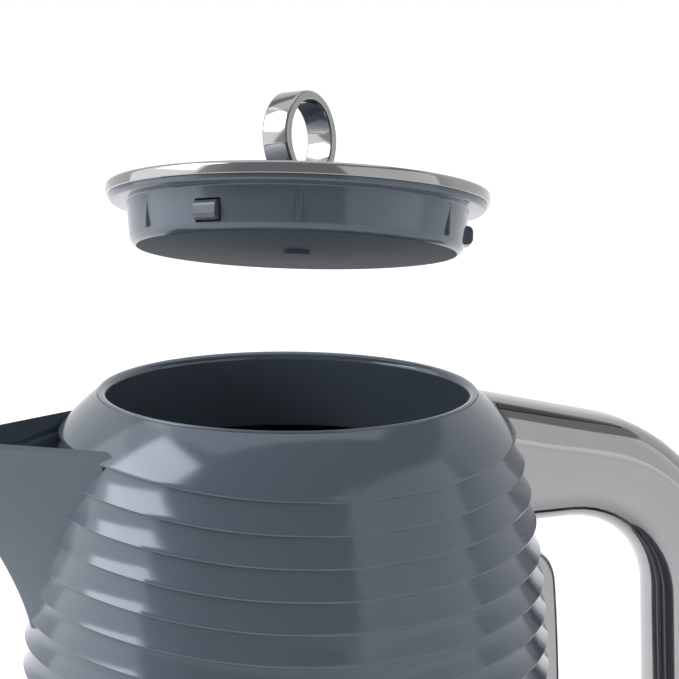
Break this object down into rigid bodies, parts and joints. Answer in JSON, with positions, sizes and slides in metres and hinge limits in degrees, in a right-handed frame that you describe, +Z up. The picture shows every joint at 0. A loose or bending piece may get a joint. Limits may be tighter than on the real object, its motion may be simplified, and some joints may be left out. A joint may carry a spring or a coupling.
{
  "type": "electric kettle",
  "caption": "Cordless electric kettle: ribbed gloss jug with beak spout, chrome loop handle, water gauge, lift-off lid with ring pull, and a swivel power base.",
  "frame": {"origin": "middle of the power base, on the surface it stands on", "axes": "+Z up, -X towards the spout's tip, +X towards the handle"},
  "size_m": [0.2362, 0.156, 0.2989],
  "materials": {
    "body_gloss": "gloss",
    "catch_plastic": "satin",
    "chrome": "polished",
    "clear": "clear",
    "dark_plastic": "fine matt",
    "control_plastic": "matt",
    "steel": "brushed",
    "aluminium": "mill",
    "brass": "plain",
    "silicone": "soft"
  },
  "bodies": {
    "power_base": {"base_top_cover": "body_gloss", "base_bottom_cover": "dark_plastic", "base_feet": "silicone", "base_screws": "steel", "base_socket": "dark_plastic", "cord_gland": "dark_plastic"},
    "socket_carrier": {"socket_core": "control_plastic"},
    "jug": {"jug_shell": "body_gloss", "neck_ring": "body_gloss", "jug_skirt": "body_gloss", "bottom_cover": "dark_plastic", "bottom_screws": "steel", "heater_seal": "silicone", "heater_plate": "steel", "clamp_ring": "steel", "heat_spreader": "aluminium", "heating_element": "steel", "jug_connector": "control_plastic", "contact_rings": "brass", "control_unit": "control_plastic", "dry_boil_discs": "steel", "spout": "body_gloss", "handle_cover": "chrome", "handle_liner": "chrome", "handle_screws": "steel", "steam_tube": "silicone", "bimetal_carrier": "control_plastic", "steam_bimetal": "steel", "switch_pin": "steel", "gauge_frame": "chrome", "gauge_window": "clear", "gauge_seal": "silicone"},
    "switch": {"switch_lever": "dark_plastic"},
    "trip": {"trip_rod": "control_plastic"},
    "filter": {"filter_frame": "dark_plastic", "filter_mesh": "steel"},
    "lid_pin": {"lid_cross_pin": "steel"},
    "lid": {"lid_plug": "body_gloss", "lid_trim_band": "chrome", "lid_cover": "body_gloss", "lid_ring": "chrome", "lid_screw": "catch_plastic", "catch_spring_a": "steel", "catch_spring_b": "steel", "catch_spring_c": "steel"},
    "catch_a": {"lid_catch_a": "catch_plastic"},
    "catch_b": {"lid_catch_b": "catch_plastic"},
    "catch_c": {"lid_catch_c": "catch_plastic"}
  },
  "joints": [
    {"name": "jug_swivel", "type": "hinge", "parent": "power_base", "child": "socket_carrier", "pos_m": [0, 0, 0.02], "axis": [0, 0, 1], "continuous": true},
    {"name": "jug_lift", "type": "slide", "parent": "socket_carrier", "child": "jug", "axis": [0, 0, 1], "range_m": [0, 0.1]},
    {"name": "switch_press", "type": "hinge", "parent": "jug", "child": "switch", "pos_m": [0.096, 0, 0.043], "axis": [0, 1, 0], "range_deg": [0, 12]},
    {"name": "trip_slide", "type": "slide", "parent": "jug", "child": "trip", "axis": [-1, 0, 0], "range_m": [0, 0.00199]},
    {"name": "filter_pull", "type": "slide", "parent": "jug", "child": "filter", "axis": [1, 0, 0], "range_m": [0, 0.03]},
    {"name": "lid_lift", "type": "slide", "parent": "jug", "child": "lid_pin", "axis": [0.0515, 0, 0.9987], "range_m": [-0.05047, 0]},
    {"name": "lid_tilt", "type": "hinge", "parent": "lid_pin", "child": "lid", "pos_m": [0.0026, 0, 0.2644], "axis": [-0.9397, 0.342, 0], "range_deg": [-15.82, 0.02]},
    {"name": "catch_a_press", "type": "slide", "parent": "lid", "child": "catch_a", "axis": [0.7016, 0.6689, -0.2458], "range_m": [0, 0.002], "stiffness_N_per_m": 300, "deforming": ["catch_spring_a"]},
    {"name": "catch_b_press", "type": "slide", "parent": "lid", "child": "catch_b", "axis": [-0.9626, 0.27, 0.0214], "range_m": [0, 0.002], "stiffness_N_per_m": 300, "deforming": ["catch_spring_b"]},
    {"name": "catch_c_press", "type": "slide", "parent": "lid", "child": "catch_c", "axis": [0.261, -0.9389, 0.2244], "range_m": [0, 0.002], "stiffness_N_per_m": 300, "deforming": ["catch_spring_c"]}
  ],
  "couplings": [
    {"joint": "lid_tilt", "follows": "lid_lift", "rad_per_m": 5.4642},
    {"joint": "trip_slide", "follows": "switch_press", "m_per_rad": 0.0095}
  ]
}
